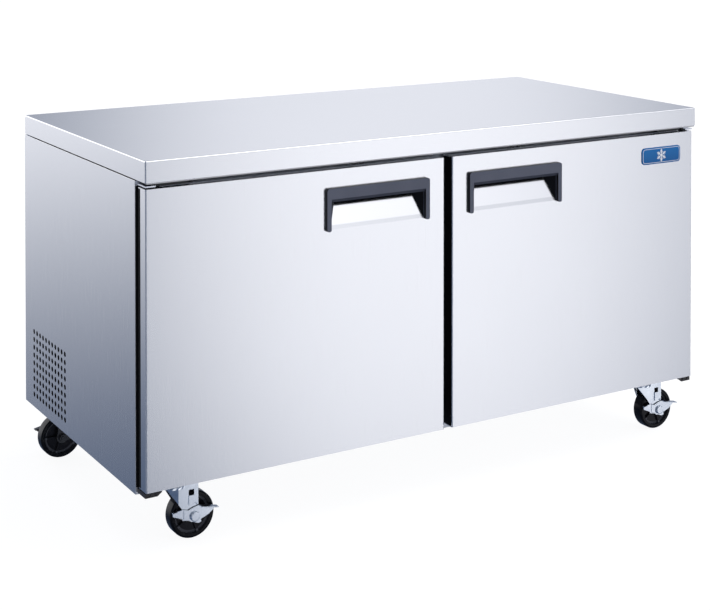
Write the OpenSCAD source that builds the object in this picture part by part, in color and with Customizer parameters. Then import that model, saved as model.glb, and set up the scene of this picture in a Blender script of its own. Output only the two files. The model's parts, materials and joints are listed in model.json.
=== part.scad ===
// Two-door under counter refrigerator on swivel casters.
// Frame: +X to the right seen from the doors, -Y towards the person who opens them,
// +Z up. The origin is on the floor, below the middle of the cabinet.

/* [Overall] */
// Width over the side panels
overall_w = 1530; // [1430:10:1630]
// Depth of the worktop, front edge to back edge
overall_d = 762; // [742:2:800]
// Height from the floor to the worktop surface
overall_h = 849; // [840:1:875]
// Height from the floor to the underside of the cabinet
caster_h = 134; // [130:1:140]

/* [Worktop] */
// Depth of the worktop's folded front edge
worktop_t = 46; // [40:1:50]
// Thickness of the worktop sheet
worktop_sheet = 1.2; // [1:0.1:1.5]
// Height of the dark shadow line under the worktop
shadow_gap = 3; // [2:0.5:5]

/* [Cabinet] */
// Thickness of the outer and inner sheet metal
sheet = 1; // [0.8:0.1:1.2]
// Thickness of the insulation in the side walls and the roof
wall = 50; // [44:1:54]
// Distance from the worktop's front edge back to the cabinet front
body_setback = 56; // [54:1:60]
// Width of the post between the two door openings
mullion_w = 84; // [80:1:96]

/* [Doors] */
// Thickness of a door's visible edge
door_t = 38; // [38:1:40]
// Distance from the worktop's front edge back to the door face
door_setback = 8; // [8:0.5:9]
// Gap between the two closed doors
centre_gap = 22; // [18:1:26]
// Clear height above a door
door_gap_top = 15; // [15:0.5:17]
// Clear height below a door
door_gap_low = 17; // [16:0.5:18]
// Distance from a door's outer edge to its hinge pin
pivot_inset = 15; // [14:0.5:17]

/* [Handles] */
// Length of the handle surround
handle_w = 273; // [241:2:301]
// Height of the handle surround
handle_h = 96; // [90:1:104]
// Height of the handle's top bar
handle_bar = 31; // [26:1:34]
// Width of the handle's legs
handle_leg = 11; // [10:1:16]
// Depth of the finger pocket behind the door face
pocket_depth = 25; // [22:1:32]

/* [Side vents] */
// Holes from front to back
vent_cols = 11; // [6:1:12]
// Holes from top to bottom
vent_rows = 9; // [5:1:9]
// Diameter of one vent hole
vent_d = 12.5; // [5:0.5:13]

/* [Shelves] */
// Height of the shelf wires above the floor
shelf_z = 424; // [420:1:432]
// Distance between two shelf wires
wire_pitch = 30; // [26:1:40]

/* [Casters] */
// Diameter of a wheel
wheel_d = 104; // [92:1:104]
// Width of a wheel
wheel_w = 32; // [26:1:34]
// Distance from the swivel axis back to the wheel axle
trail = 40; // [36:1:42]

/* [Hidden] */
$fn = 48;

// Cabinet planes
half_w = overall_w / 2;
front_y = -overall_d / 2;
back_y = overall_d / 2;
body_y = front_y + body_setback;
base_z = caster_h;
top_z = overall_h - worktop_t;
panel_top = top_z - shadow_gap;
skin_x = half_w - sheet;
frame_t = 1.5;
base_t = 2;

// Refrigerated space
cav_x = half_w - sheet - wall - 1;
cav_front = body_y + frame_t;
cav_back = back_y - wall - 1;
floor_z = base_z + base_t + wall + 13;
ceil_z = panel_top - wall - 1;
bay_y = back_y - 296;
bay_top = base_z + 210;
step_y = bay_y - wall - 1;
step_z = bay_top + wall;

// Doors, given for the left one
door_x0 = -half_w + 4;
door_x1 = -centre_gap / 2;
door_y0 = front_y + door_setback;
door_y1 = door_y0 + door_t;
door_z0 = base_z + door_gap_low;
door_z1 = top_z - door_gap_top;
pivot_x = door_x0 + pivot_inset;
pivot_y = door_y0 + door_t / 2;
pin_r = 5;
running = 0.05;
bush_r = 8;
bush_flange = 2;
bush_h = 20;
seal_gap = 0.5;
gasket_w = 20;
gasket_x0 = pivot_x + 4;
gasket_x1 = -mullion_w / 2 + 24;
gasket_z0 = floor_z - 32;
gasket_z1 = ceil_z + 29;
dish_depth = 20;
dish_gap = 15;
dish_t = 1.5;

// Handles
handle_x1 = door_x1 - 45.5;
handle_x0 = handle_x1 - handle_w;
handle_z1 = door_z1 - 41;
handle_z0 = handle_z1 - handle_h;
bar_z = handle_z1 - handle_bar;
pocket_z0 = handle_z0 + 3.5;
pocket_z1 = handle_z1 - 9;
pocket_x0 = handle_x0 + handle_leg - 1;
pocket_x1 = handle_x1 - handle_leg + 1;
cheek_slant = 24;

// Cooling unit
evap_x = 270;
evap_y = cav_back - 115;
evap_z0 = step_z + 50;
evap_z1 = ceil_z - 25;
evap_fan = [-140, evap_y + 21, (evap_z0 + evap_z1) / 2];
evap_fan_r = 65;
cond_x = -half_w + 125;
cond_mid = [cond_x + 62, (bay_y + back_y) / 2 - 13, base_z + 105];
cond_fan_r = 80;
compressor_at = [-half_w + 435, cond_mid.y + 15];
compressor_r = 78;
liquid_at = [200, cav_back - 40];
suction_at = [226, cav_back - 28];
liquid_r = 4;
suction_r = 6;

// Shelves
shelf_x0 = -cav_x + 7;
shelf_x1 = -16;
shelf_y0 = body_y + 63;
shelf_y1 = evap_y - 15;
rim_r = 3.5;
wire_r = 2;
pilaster_t = 3;
post_back = body_y + 50;
pilaster_w = 24;
rear_pilaster_y = shelf_y1 - 40;
front_pilaster_y = shelf_y0 + 12;

// Casters: swivel axis, and the direction in which the wheel trails
caster_x = half_w - 105;
front_right_x = half_w - 94;
caster_front_y = front_y + 100;
caster_rear_y = back_y - 62;
CASTERS = [[-caster_x, caster_front_y, 0], [front_right_x, caster_front_y, 0],
    [-caster_x, caster_rear_y, 180], [caster_x, caster_rear_y, 180]];
axle_z = wheel_d / 2;
axle_r = 5;
fork_gap = wheel_w / 2 + 3;
fork_t = 3;
leg_left = -24;
leg_right = trail + 11;
leg_bend = 4;
leg_tip = 7;
leg_face = fork_gap + fork_t;
crown_z0 = base_z - 16;
crown_z1 = base_z - 10.5;
kingpin_r = 6;
plate_hole_x = 38;
plate_hole_y = 28;
screw_r = 4;

// ---------- helpers ----------

// Box from its lowest to its highest corner
module slab(lo, hi) {
    translate(lo) cube(hi - lo);
}

// Sheet outline in the YZ plane, carried along X
module along_x(x0, x1) {
    translate([x0, 0, 0]) rotate([90, 0, 90]) linear_extrude(height = x1 - x0) children();
}

// Outline in the XZ plane, carried along Y
module along_y(y0, y1) {
    translate([0, y1, 0]) rotate([90, 0, 0]) linear_extrude(height = y1 - y0) children();
}

// Cylinder along Y at x, z
module rod_y(r, x, z, y0, y1, sides = $fn) {
    translate([x, y1, z]) rotate([90, 0, 0]) cylinder(r = r, h = y1 - y0, $fn = sides);
}

// Cylinder along X at y, z
module rod_x(r, y, z, x0, x1) {
    translate([x0, y, z]) rotate([0, 90, 0]) cylinder(r = r, h = x1 - x0);
}

// Rectangle with round corners, from its lowest to its highest corner
module round_rect(lo, hi, r) {
    translate([lo.x + r, lo.y]) square([hi.x - lo.x - 2 * r, hi.y - lo.y]);
    translate([lo.x, lo.y + r]) square([hi.x - lo.x, hi.y - lo.y - 2 * r]);
    for (x = [lo.x + r, hi.x - r], y = [lo.y + r, hi.y - r]) translate([x, y]) circle(r);
}

// Can with rounded rims, standing on z = 0
module round_can(r, h, rim) {
    rotate_extrude() {
        square([r - rim, h]);
        translate([0, rim]) square([r, h - 2 * rim]);
        for (z = [rim, h - rim]) translate([r - rim, z]) circle(rim);
    }
}

// Straight tube between two points
module run(a, b, r) {
    d = b - a;
    flat = norm([d.x, d.y]);
    translate(a) rotate([0, atan2(flat, d.z), atan2(d.y, d.x)]) cylinder(r = r, h = norm(d));
}

// Tube through a list of points, with round elbows
module pipe(points, r) {
    for (i = [0:len(points) - 2]) run(points[i], points[i + 1], r);
    for (i = [1:1:len(points) - 2]) translate(points[i]) sphere(r);
}

// Screw with a hexagonal head; the shank points along +Z from z = 0
module screw(length) {
    translate([0, 0, -5]) cylinder(r = 6.5, h = 5, $fn = 6);
    translate([0, 0, -0.01]) cylinder(r = screw_r, h = length + 0.01);
}

// Places a caster part at each caster, or at one of them
module at_caster(i) {
    translate([CASTERS[i].x, CASTERS[i].y, 0]) rotate([0, 0, CASTERS[i].z]) children();
}

module plate_holes(r, z0, z1) {
    for (i = [0:3]) at_caster(i) for (x = [-plate_hole_x, plate_hole_x], y = [-plate_hole_y, plate_hole_y])
        translate([x, y, z0]) cylinder(r = r, h = z1 - z0);
}

// Holes for the two refrigerant lines that rise into the cabinet
module line_holes(z0, z1) {
    for (p = [[liquid_at, liquid_r], [suction_at, suction_r]])
        translate([p[0].x, p[0].y, z0]) cylinder(r = p[1] + 1, h = z1 - z0);
}

// ---------- cabinet ----------

module worktop() {
    hem = 20;
    channel_w = 60;
    color("gainsboro") {
        difference() {
            slab([-half_w, front_y, top_z], [half_w, back_y, overall_h]);
            slab([-half_w + worktop_sheet, front_y + worktop_sheet, top_z + worktop_sheet],
                [half_w - worktop_sheet, back_y - worktop_sheet, overall_h - worktop_sheet]);
            slab([-half_w + hem, front_y + hem, top_z - 1],
                [half_w - hem, back_y - hem, top_z + hem]);
        }
        for (i = [-2:2]) translate([i * overall_w / 6, 0, 0]) difference() {
            slab([-channel_w / 2, front_y + hem + 10, top_z],
                [channel_w / 2, back_y - hem - 10, overall_h - worktop_sheet / 2]);
            slab([-channel_w / 2 + sheet, front_y, top_z + sheet],
                [channel_w / 2 - sheet, back_y, overall_h - worktop_sheet - 1]);
        }
    }
}

module vent_grid() {
    pitch_y = 21.6;
    pitch_z = 19.4;
    rear_margin = 65;
    low_margin = 32;
    for (i = [0:vent_cols - 1], j = [0:vent_rows - 1])
        rod_x(vent_d / 2, back_y - rear_margin - i * pitch_y, base_z + low_margin + j * pitch_z,
            -half_w - 1, -half_w + sheet + 1);
}

module side_panel() {
    flange = 12;
    color("silver") difference() {
        union() {
            slab([-half_w, body_y, base_z], [-skin_x, back_y, panel_top]);
            slab([-half_w, body_y + frame_t, panel_top - sheet],
                [-half_w + flange, back_y - sheet, panel_top]);
        }
        vent_grid();
    }
}

module left_side_panel() side_panel();
module right_side_panel() mirror([1, 0, 0]) side_panel();

module back_panel() {
    color("lightgray") {
        slab([-skin_x, back_y - sheet, bay_top], [skin_x, back_y, panel_top]);
        back_stiffeners(back_y - sheet / 2);
    }
}

// Two flat bars along the back sheet, from its inner side to y1
module back_stiffeners(y1) {
    end_inset = 80;
    bar_h = 14;
    bar_t = 3;
    for (rise = [120, 280])
        slab([-skin_x + end_inset, back_y - sheet - bar_t, bay_top + rise],
            [skin_x - end_inset, y1, bay_top + rise + bar_h]);
}

// Floor sheet, folded up and back over the machine bay
module base_panel() {
    color("lightgray") difference() {
        union() {
            slab([-skin_x, cav_front, base_z], [skin_x, bay_y, base_z + base_t]);
            slab([-skin_x, bay_y - base_t, base_z], [skin_x, bay_y, bay_top]);
            slab([-skin_x, bay_y - base_t, bay_top - base_t], [skin_x, back_y - sheet, bay_top]);
        }
        plate_holes(screw_r + 0.2, base_z - 1, base_z + base_t + 1);
        line_holes(bay_top - base_t - 1, bay_top + 1);
    }
}

// Outline of the refrigerated space in the YZ plane, grown by g on its closed sides
module cavity_outline(g, front) {
    polygon([[front, floor_z - g], [step_y + g, floor_z - g], [step_y + g, step_z - g],
        [cav_back + g, step_z - g], [cav_back + g, ceil_z + g], [front, ceil_z + g]]);
}

module cabinet_foam() {
    pad_inset = 25;
    color("wheat") difference() {
        union() {
            slab([-skin_x, cav_front, base_z + base_t], [skin_x, back_y - sheet, panel_top - sheet]);
            slab([-half_w + pad_inset, front_y + 80, panel_top - sheet - 1],
                [half_w - pad_inset, back_y - pad_inset, top_z]);
        }
        slab([-half_w, bay_y - base_t, base_z], [half_w, back_y + 1, bay_top]);
        along_x(-cav_x - 1, cav_x + 1) cavity_outline(1, body_y - 1);
        back_stiffeners(back_y);
        line_holes(bay_top - 1, step_z + 1);
    }
}

module inner_liner() {
    color("whitesmoke") difference() {
        along_x(-cav_x - 1, cav_x + 1) cavity_outline(1, cav_front);
        along_x(-cav_x, cav_x) cavity_outline(0, cav_front - 1);
        line_holes(step_z - 3, step_z + 1);
    }
}

// Stainless surround of both openings, with the lipped rail over the doors
module front_frame() {
    lip_y = front_y + 26;
    lip_x = half_w - 118;
    lip_z0 = door_z1 + 6.8;
    lip_t = 1.2;
    color("lightgray") {
        difference() {
            slab([-skin_x, body_y, base_z], [skin_x, cav_front, panel_top]);
            slab([-cav_x, body_y - 1, floor_z], [cav_x, cav_front + 1, ceil_z]);
        }
        along_x(-lip_x, lip_x) polygon([[lip_y, lip_z0], [lip_y, panel_top], [body_y + 0.5, panel_top],
            [body_y + 0.5, panel_top - lip_t], [lip_y + lip_t, panel_top - lip_t],
            [lip_y + lip_t, lip_z0]]);
    }
}

module centre_mullion() {
    skin = 1.2;
    color("lightgray") difference() {
        slab([-mullion_w / 2, body_y, floor_z], [mullion_w / 2, post_back, ceil_z]);
        slab([-mullion_w / 2 + skin, body_y + skin, floor_z - 1],
            [mullion_w / 2 - skin, post_back - skin, ceil_z + 1]);
    }
}

// Black plastic parts on the rail: a cap beside each top hinge, and two stop clips
module rail_caps() {
    cap_x0 = -pivot_x - 9;
    cap_x1 = half_w - 115;
    cap_y0 = door_y0 + 7;
    cap_wall = 5;
    cap_z0 = door_z1 + 3.5;
    clip_half = 18.5;
    clip_y = front_y + 26;
    color("black") {
        for (side = [0, 1]) mirror([side, 0, 0]) difference() {
            slab([-cap_x0, cap_y0, cap_z0], [-cap_x1, body_y - 3.2, panel_top]);
            slab([-cap_x0 + cap_wall, cap_y0 - 1, cap_z0 - 1],
                [-cap_x1 - cap_wall, cap_y0 + cap_wall, panel_top - 3]);
        }
        for (x = [-240, 204]) translate([x, 0, 0]) {
            slab([-clip_half, clip_y - 5, door_z1 + 6], [clip_half, clip_y, panel_top - 2]);
            for (knob = [-10, 10]) rod_y(5, knob, door_z1 + 8.6, clip_y - 9, clip_y - 3);
        }
    }
}

// Front or back apron of the lower hinge plate, in the XZ plane
module apron_outline(width, z0, z1) {
    chamfer = 10;
    polygon([[door_x0, z0], [door_x0 + width - chamfer, z0], [door_x0 + width, z1], [door_x0, z1]]);
}

// Fixed half of each hinge: a plate above and below the door, each with its pin
module hinge_bracket_pair() {
    top_w = 23;
    low_w = 38;
    plate = 3;
    top_z0 = door_z1 + 4;
    low_z1 = door_z0 - bush_flange - 0.5;
    low_z0 = low_z1 - plate;
    apron_z0 = base_z + 5;
    apron_setback = 5;
    leg_y = body_y - plate;
    slab([door_x0, door_y0, top_z0], [door_x0 + top_w, body_y, top_z0 + plate]);
    slab([door_x0, leg_y, top_z0], [door_x0 + top_w, body_y, panel_top]);
    translate([pivot_x, pivot_y, top_z0 - bush_h]) cylinder(r = pin_r, h = bush_h + 1);
    slab([door_x0, door_y0 + apron_setback, low_z0], [door_x0 + low_w, body_y, low_z1]);
    for (y = [door_y0 + apron_setback, leg_y])
        along_y(y, y + plate) apron_outline(low_w, apron_z0, low_z0 + 1);
    slab([door_x0, door_y0 + apron_setback, apron_z0], [door_x0 + plate, body_y, low_z0 + 1]);
    translate([pivot_x, pivot_y, low_z0 + 1]) cylinder(r = pin_r, h = bush_h + 1);
}

module hinge_brackets() {
    color("dimgray") for (side = [0, 1]) mirror([side, 0, 0]) hinge_bracket_pair();
}

// ---------- doors, drawn as the left one ----------

// Finger pocket in the YZ plane: a ramp from the door face, then a hollow behind the bar
module pocket_outline(g) {
    rise = bar_z - pocket_z0;
    polygon([[door_y0 - 1, pocket_z0 - 2 * g - rise / pocket_depth],
        [door_y0 + pocket_depth + g, bar_z - 0.3 * g],
        [door_y0 + pocket_depth + g, pocket_z1 + g], [door_y0 - 1, pocket_z1 + g]]);
}

module door_skin() {
    difference() {
        slab([door_x0, door_y0, door_z0], [door_x1, door_y1, door_z1]);
        difference() {
            slab([door_x0 + sheet, door_y0 + sheet, door_z0 + sheet],
                [door_x1 - sheet, door_y1 + 1, door_z1 - sheet]);
            along_x(pocket_x0 - sheet, pocket_x1 + sheet) pocket_outline(sheet);
        }
        along_x(pocket_x0, pocket_x1) pocket_outline(0);
        translate([pivot_x, pivot_y, door_z0 - 1]) cylinder(r = bush_r + 0.2, h = overall_h);
    }
}

module door_foam() {
    difference() {
        union() {
            slab([door_x0 + sheet, door_y0 + sheet, door_z0 + sheet],
                [door_x1 - sheet, door_y1 - sheet, door_z1 - sheet]);
            dish(dish_t + 0.1, 0.5);
        }
        along_x(pocket_x0 - sheet, pocket_x1 + sheet) pocket_outline(sheet + 0.1);
        for (z = [door_z0 - 1, door_z1 - bush_h])
            translate([pivot_x, pivot_y, z]) cylinder(r = bush_r + 0.3, h = bush_h + 1);
    }
}

// Raised field of the inner panel that reaches into the cabinet opening, less inset all round;
// overlap starts it that much in front of the panel
module dish(inset, overlap) {
    along_y(door_y1 - sheet - overlap, door_y1 + dish_depth - inset)
        round_rect([-cav_x + dish_gap + inset, floor_z + dish_gap + inset],
            [-mullion_w / 2 - dish_gap - inset, ceil_z - dish_gap - inset], 15);
}

module door_liner() {
    lip_d = 18;
    difference() {
        union() {
            slab([door_x0 + sheet, door_y1 - sheet, door_z0 + sheet],
                [door_x1 - sheet, door_y1, door_z1 - sheet]);
            slab([door_x0 + 40, door_y1 - lip_d, door_z1], [door_x1 - 4, door_y1 + 1, door_z1 + 1]);
            slab([door_x0 + 40, door_y1, door_z1 - 5], [door_x1 - 4, door_y1 + 1, door_z1 + 1]);
            dish(0, 0);
        }
        dish(dish_t, 0.5);
    }
}

// Magnetic seal: a clamped base and a softer hollow bulb
module gasket() {
    bulb_inset = 3;
    base_h = 3;
    difference() {
        union() {
            along_y(door_y1, door_y1 + base_h)
                round_rect([gasket_x0, gasket_z0], [gasket_x1, gasket_z1], 6);
            along_y(door_y1 + base_h - 0.1, body_y - seal_gap)
                round_rect([gasket_x0 + bulb_inset, gasket_z0 + bulb_inset],
                    [gasket_x1 - bulb_inset, gasket_z1 - bulb_inset], 5);
        }
        along_y(door_y1 - 1, body_y)
            round_rect([gasket_x0 + gasket_w, gasket_z0 + gasket_w],
                [gasket_x1 - gasket_w, gasket_z1 - gasket_w], 3);
        along_y(door_y1 + base_h, body_y)
            round_rect([gasket_x0 + gasket_w - bulb_inset, gasket_z0 + gasket_w - bulb_inset],
                [gasket_x1 - gasket_w + bulb_inset, gasket_z1 - gasket_w + bulb_inset], 3);
    }
}

// Moulded surround: top bar, two legs and the slanted cheeks of the finger pocket
module handle() {
    cheek_t = 2.5;
    y0 = front_y;
    corner = 6;
    foot = 4;
    chamfer_y = 5;
    chamfer_z = 7;
    inner_x0 = handle_x0 + handle_leg;
    inner_x1 = handle_x1 - handle_leg;
    difference() {
        along_y(y0, door_y0) difference() {
            union() {
                round_rect([handle_x0, bar_z - 20], [handle_x1, handle_z1], corner);
                round_rect([handle_x0, handle_z0], [inner_x0, handle_z1 - 10], foot);
                round_rect([inner_x1, handle_z0], [handle_x1, handle_z1 - 10], foot);
            }
            round_rect([inner_x0, handle_z0 - 20], [inner_x1, bar_z], 3);
        }
        along_x(inner_x0, inner_x1) polygon([[y0 - 1, bar_z - 1], [y0 - 1, bar_z + chamfer_z],
            [y0, bar_z + chamfer_z], [y0 + chamfer_y, bar_z - 1]]);
    }
    intersection() {
        along_x(pocket_x0 + 0.2, pocket_x1 - 0.2) pocket_outline(-0.3);
        translate([0, 0, handle_z0]) linear_extrude(height = handle_h) {
            polygon([[pocket_x0, door_y0 - 0.1], [pocket_x0 + cheek_t, door_y0 - 0.1],
                [pocket_x0 + cheek_t + cheek_slant, door_y0 + pocket_depth],
                [pocket_x0 + cheek_slant, door_y0 + pocket_depth]]);
            polygon([[pocket_x1, door_y0 - 0.1], [pocket_x1 - cheek_t, door_y0 - 0.1],
                [pocket_x1 - cheek_t - cheek_slant, door_y0 + pocket_depth],
                [pocket_x1 - cheek_slant, door_y0 + pocket_depth]]);
        }
    }
}

// Flanged nylon bushes that turn on the hinge pins
module bushes() {
    difference() {
        for (z = [[door_z1 - bush_h + 1, door_z1], [door_z0 - bush_flange, door_z0 - bush_flange]]) {
            translate([pivot_x, pivot_y, z[0]]) cylinder(r = bush_r, h = bush_h);
            translate([pivot_x, pivot_y, z[1]]) cylinder(r = 11, h = bush_flange);
        }
        translate([pivot_x, pivot_y, door_z0 - 10])
            cylinder(r = pin_r + running, h = overall_h);
    }
}

module left_door_skin() color("gainsboro") door_skin();
module left_door_foam() color("wheat") door_foam();
module left_door_liner() color("lightgray") door_liner();
module left_door_gasket() color("#202226") gasket();
module left_door_handle() color("#474b59") handle();
module left_door_bushes() color("#303030") bushes();
module right_door_skin() color("gainsboro") mirror([1, 0, 0]) door_skin();
module right_door_foam() color("wheat") mirror([1, 0, 0]) door_foam();
module right_door_liner() color("lightgray") mirror([1, 0, 0]) door_liner();
module right_door_gasket() color("#202226") mirror([1, 0, 0]) gasket();
module right_door_handle() color("#474b59") mirror([1, 0, 0]) handle();
module right_door_bushes() color("#303030") mirror([1, 0, 0]) bushes();

// Plain blue plate on the right door
module badge() {
    badge_w = 128;
    badge_h = 42;
    badge_mid = [half_w - 110, door_z1 - 53];
    color("#1f6da8") along_y(door_y0 - 2, door_y0)
        round_rect(badge_mid - [badge_w, badge_h] / 2, badge_mid + [badge_w, badge_h] / 2, 10);
}

// ---------- inside the cabinet ----------

// Slotted uprights on the side walls, the post and the evaporator cover
module shelf_pilasters() {
    slot_pitch = 25;
    slot_w = 10;
    slot_h = 5;
    end_gap = 10;
    w = pilaster_w / 2;
    color("silver") difference() {
        union() {
            for (s = [-1, 1]) translate([s * (cav_x - pilaster_t / 2), 0, 0]) {
                slab([-pilaster_t / 2, front_pilaster_y - w, floor_z + end_gap],
                    [pilaster_t / 2, front_pilaster_y + w, ceil_z - end_gap]);
                slab([-pilaster_t / 2, rear_pilaster_y - w, step_z + end_gap / 2],
                    [pilaster_t / 2, rear_pilaster_y + w, ceil_z - end_gap]);
            }
            slab([-w, post_back, floor_z + end_gap], [w, post_back + pilaster_t, ceil_z - end_gap]);
            slab([-w, evap_y - pilaster_t, step_z + end_gap], [w, evap_y, evap_z1]);
        }
        for (z = [step_z + 12:slot_pitch:ceil_z - 20]) if (z > shelf_z || z < shelf_z - slot_pitch) {
            for (y = [front_pilaster_y, rear_pilaster_y])
                slab([-cav_x - 1, y - slot_w / 2, z], [cav_x + 1, y + slot_w / 2, z + slot_h]);
            slab([-slot_w / 2, post_back - 10, z], [slot_w / 2, evap_y + 10, z + slot_h]);
        }
    }
}

// Clips that carry the shelves: a ledge with a turned-down tab against the upright
module shelf_clips() {
    clip_t = 2;
    top = shelf_z - rim_r - 0.5;
    reach = 18;
    tab_half = 9;
    ledge_half = 30;
    wall_x = cav_x - pilaster_t;
    post_y = post_back + pilaster_t;
    cover_y = evap_y - pilaster_t;
    color("silver") {
        for (s = [0, 1]) mirror([s, 0, 0]) for (y = [front_pilaster_y, rear_pilaster_y]) {
            slab([-wall_x, y - tab_half, top - clip_t], [-wall_x + reach, y + tab_half, top]);
            slab([-wall_x, y - tab_half, top - reach], [-wall_x + clip_t, y + tab_half, top]);
        }
        slab([-ledge_half, post_y, top - clip_t], [ledge_half, post_y + reach, top]);
        slab([-tab_half, post_y, top - reach], [tab_half, post_y + clip_t, top]);
        slab([-ledge_half, cover_y - reach - 5, top - clip_t], [ledge_half, cover_y, top]);
        slab([-tab_half, cover_y - clip_t, top - reach], [tab_half, cover_y, top]);
    }
}

// Wire shelf, drawn as the left one
module wire_shelf() {
    top = shelf_z + rim_r - 0.6;
    for (y = [shelf_y0, shelf_y1]) rod_x(rim_r, y, shelf_z, shelf_x0, shelf_x1);
    for (x = [shelf_x0, shelf_x1]) rod_y(rim_r, x, shelf_z, shelf_y0, shelf_y1);
    for (x = [shelf_x0, shelf_x1], y = [shelf_y0, shelf_y1]) translate([x, y, shelf_z]) sphere(rim_r);
    for (f = [1 / 3, 2 / 3]) rod_x(rim_r - 0.5, shelf_y0 + f * (shelf_y1 - shelf_y0), shelf_z,
        shelf_x0, shelf_x1);
    for (x = [shelf_x0 + wire_pitch:wire_pitch:shelf_x1 - wire_pitch / 2])
        rod_y(wire_r, x, top, shelf_y0 - 1, shelf_y1 + 1);
}

module left_shelf() color("whitesmoke") wire_shelf();
module right_shelf() color("whitesmoke") mirror([1, 0, 0]) wire_shelf();

// Box in front of the coil, with the fan opening and the return louvres
module evaporator_cover() {
    skin = 1.2;
    guard_t = 2;
    louvre_x = 140;
    color("whitesmoke") {
        difference() {
            slab([-evap_x, evap_y, evap_z0], [evap_x, cav_back, evap_z1]);
            slab([-evap_x + skin, evap_y + skin, evap_z0 + skin],
                [evap_x - skin, cav_back + 1, evap_z1 - skin]);
            rod_y(evap_fan_r + 5, evap_fan.x, evap_fan.z, evap_y - 1, evap_y + 5);
            for (i = [-4:4]) slab([louvre_x - 70, evap_y - 1, evap_fan.z + i * 16 - 4],
                [louvre_x + 70, evap_y + 5, evap_fan.z + i * 16 + 4]);
            line_holes(evap_z0 - 1, evap_z0 + 5);
        }
        for (r = [20, 35, 50]) difference() {
            rod_y(r + 1, evap_fan.x, evap_fan.z, evap_y, evap_y + guard_t);
            rod_y(r - 1, evap_fan.x, evap_fan.z, evap_y - 1, evap_y + guard_t + 1);
        }
        for (a = [0:60:120]) translate([evap_fan.x, evap_y, evap_fan.z]) rotate([0, a, 0])
            slab([-evap_fan_r - 6, 0, -1], [evap_fan_r + 6, guard_t - 0.5, 1]);
    }
}

// Finned coil: plates across parallel tubes
module evaporator_coil() {
    x_end = 235;
    y0 = cav_back - 52;
    y1 = cav_back - 8;
    z0 = evap_z0 + 30;
    z1 = evap_z1 - 25;
    rows = 5;
    color("silver") {
        for (x = [-x_end:10:x_end]) slab([x, y0, z0], [x + 1, y1, z1]);
        for (i = [0:rows - 1], y = [y0 + 11, y1 - 11])
            rod_x(4.5, y, z0 + (i + 0.5) * (z1 - z0) / rows, -x_end - 8, x_end + 9);
        for (x = [-x_end - 4, x_end + 3], i = [0:rows - 1])
            slab([x, y0 + 7, z0 + (i + 0.5) * (z1 - z0) / rows - 4],
                [x + 2, y1 - 7, z0 + (i + 0.5) * (z1 - z0) / rows + 4]);
    }
}

module evaporator_motor() {
    motor_r = 26;
    y0 = evap_fan.y + 14;
    strut_x = evap_fan_r + 14;
    color("dimgray") {
        translate([evap_fan.x, y0 + 26, evap_fan.z]) rotate([90, 0, 0]) round_can(motor_r, 26, 4);
        rod_y(3, evap_fan.x, evap_fan.z, evap_fan.y - 9, y0 + 4);
        slab([evap_fan.x - strut_x, y0 + 10, evap_fan.z - 6],
            [evap_fan.x + strut_x, y0 + 12, evap_fan.z + 6]);
        for (s = [-1, 1]) translate([evap_fan.x + s * strut_x, 0, evap_fan.z])
            slab([-1, evap_y + 1.2, -6], [1, y0 + 12, 6]);
    }
}

// Axial fan on a hub with a bored shaft hole; the axis is Z, the hub's middle is at z = 0
module fan(tip_r, hub_r, hub_h, chord, pitch, blades) {
    difference() {
        union() {
            translate([0, 0, -hub_h / 2]) round_can(hub_r, hub_h, 2);
            for (i = [0:blades - 1]) rotate([0, 0, i * 360 / blades]) intersection() {
                translate([hub_r - 2, 0, 0]) rotate([pitch, 0, 0])
                    translate([0, -chord / 2, -0.75]) cube([tip_r, chord, 1.5]);
                translate([0, 0, -hub_h]) cylinder(r = tip_r, h = 2 * hub_h);
            }
        }
        translate([0, 0, -hub_h]) cylinder(r = 3 + running, h = 2 * hub_h);
    }
}

module evaporator_fan() {
    color("black") translate(evap_fan) rotate([90, 0, 0]) fan(evap_fan_r, 20, 20, 34, 28, 5);
}

// Sealed electronic display with a flush membrane, so nothing on it travels
module temperature_controller() {
    mid = [215, evap_z1 - 30];
    color("#2b2d33") difference() {
        along_y(evap_y - 18, evap_y) round_rect(mid - [38, 17], mid + [38, 17], 4);
        along_y(evap_y - 19, evap_y - 17) round_rect(mid - [20, 11], mid + [28, 11], 2);
    }
}

// ---------- machine bay ----------

module unit_tray() {
    lip = 14;
    color("lightgray") difference() {
        union() {
            slab([-skin_x, bay_y, base_z], [skin_x, back_y - sheet, base_z + base_t]);
            slab([-skin_x, back_y - sheet - 1.5, base_z], [skin_x, back_y - sheet, base_z + lip]);
        }
        plate_holes(screw_r + 0.2, base_z - 1, base_z + base_t + 1);
        for (x = [-cond_fan_r:20:cond_fan_r])
            slab([cond_mid.x + 130 + x, cond_mid.y - 60, base_z - 1],
                [cond_mid.x + 138 + x, cond_mid.y + 40, base_z + base_t + 1]);
    }
}

module compressor() {
    foot_h = 12;
    can_h = 172;
    seam_z = 84;
    plate = [85, 60];
    foot = [72, 46];
    box_w = 56;
    box_z = [60, 120];
    color("#1c1d20") translate([compressor_at.x, compressor_at.y, base_z + base_t]) {
        translate([0, 0, foot_h + 2]) round_can(compressor_r, can_h, 34);
        translate([0, 0, seam_z]) round_can(compressor_r + 2, 12, 3);
        slab([-plate.x, -plate.y, foot_h - 1], [plate.x, plate.y, foot_h + 3]);
        for (x = [-foot.x, foot.x], y = [-foot.y, foot.y]) translate([x, y, 0]) cylinder(r = 10, h = foot_h);
        slab([-box_w / 2, -compressor_r - 22, box_z[0]], [box_w / 2, -compressor_r + 10, box_z[1]]);
    }
}

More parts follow.
